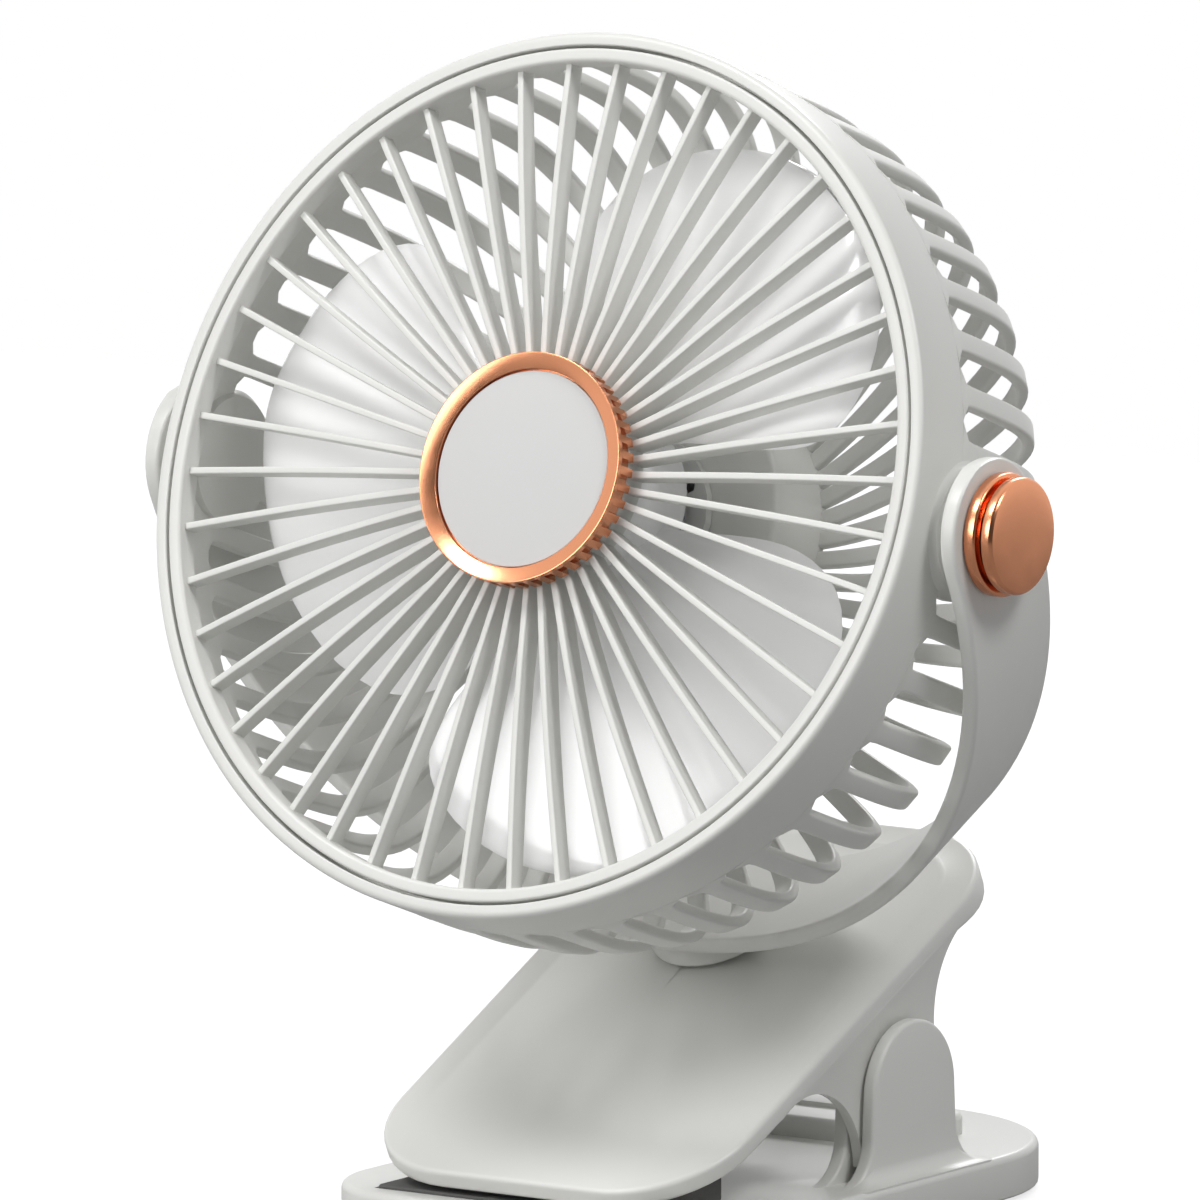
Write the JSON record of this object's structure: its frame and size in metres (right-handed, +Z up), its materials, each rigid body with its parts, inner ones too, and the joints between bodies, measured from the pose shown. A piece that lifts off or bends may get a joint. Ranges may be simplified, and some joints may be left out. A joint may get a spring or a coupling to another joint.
{
  "type": "clip fan",
  "caption": "Round fan head with a ribbed cage in a tilting, swivelling U yoke on a spring clip whose lower jaw is also the standing base",
  "frame": {"origin": "centre of the flat bottom of the sole pad under the base", "axes": "+Z up, +Y from the jaws to the handle, +X to the right seen from the front"},
  "size_m": [0.1909, 0.158, 0.2281],
  "materials": {
    "shell_plastic": "satin moulded plastic, warm light grey",
    "impeller_plastic": "glossy moulded plastic, white",
    "rose_gold_trim": "rose-gold plated, fine satin",
    "hub_disc": "satin silver disc, finely spun",
    "grip_rubber": "matt silicone rubber",
    "steel": "plain steel",
    "circuit_board": "solder mask on board",
    "dark_plastic": "matt dark plastic",
    "windings": "enamelled wire on the core",
    "cell_wrap": "satin foil pouch"
  },
  "bodies": {
    "base": {"base_shell": "shell_plastic", "base_cover": "shell_plastic", "base_jaw_pad": "grip_rubber", "sole_pad": "grip_rubber", "hinge_pin": "steel", "torsion_spring": "steel", "battery_cell": "cell_wrap", "charging_board": "circuit_board", "charging_inlet": "steel", "base_screw_1": "steel", "base_screw_2": "steel", "base_screw_3": "steel", "base_screw_4": "steel"},
    "lever": {"lever": "shell_plastic", "lever_jaw_pad": "grip_rubber"},
    "yoke": {"yoke": "shell_plastic", "swivel_washer": "dark_plastic", "swivel_nut": "steel", "pivot_pin_right": "steel", "pivot_pin_left": "steel", "pivot_washer_right": "dark_plastic", "pivot_washer_left": "dark_plastic", "cap_ring_right": "rose_gold_trim", "cap_ring_left": "shell_plastic", "cap_disc_right": "rose_gold_trim", "cap_disc_left": "shell_plastic"},
    "head": {"front_grille": "shell_plastic", "hub_ring": "rose_gold_trim", "hub_disc": "hub_disc", "rear_cage": "shell_plastic", "rear_cover": "shell_plastic", "control_board": "circuit_board", "button_switch": "dark_plastic", "motor_mount": "shell_plastic", "front_bearing": "steel", "rear_bearing": "steel", "stator": "windings", "motor_board": "circuit_board", "motor_screw_1": "steel", "motor_screw_2": "steel", "motor_screw_3": "steel"},
    "button": {"speed_button": "rose_gold_trim"},
    "impeller": {"impeller": "impeller_plastic", "motor_shaft": "steel", "rotor_can": "steel", "magnet_ring": "dark_plastic"}
  },
  "joints": [
    {"name": "clip_open", "type": "hinge", "parent": "base", "child": "lever", "pos_m": [0, 0.0045, 0.0251], "axis": [-1, 0, 0], "range_deg": [0, 45], "stiffness_Nm_per_rad": 0.8, "springref_deg": -22.92, "deforming": ["torsion_spring"]},
    {"name": "yoke_swivel", "type": "hinge", "parent": "lever", "child": "yoke", "pos_m": [0, -0.043, 0.1421], "axis": [0, -0.433, 0.9014], "range_deg": [-175, 175]},
    {"name": "head_tilt", "type": "hinge", "parent": "yoke", "child": "head", "pos_m": [0, -0.043, 0.1421], "axis": [-1, 0, 0], "range_deg": [-110, 70]},
    {"name": "impeller_spin", "type": "hinge", "parent": "head", "child": "impeller", "pos_m": [0, -0.043, 0.1421], "axis": [0, 0.9438, -0.3305], "continuous": true},
    {"name": "button_press", "type": "slide", "parent": "head", "child": "button", "axis": [0, -0.9438, 0.3305], "range_m": [0, 0.0006], "stiffness_N_per_m": 900, "springref_m": -0.0004}
  ]
}
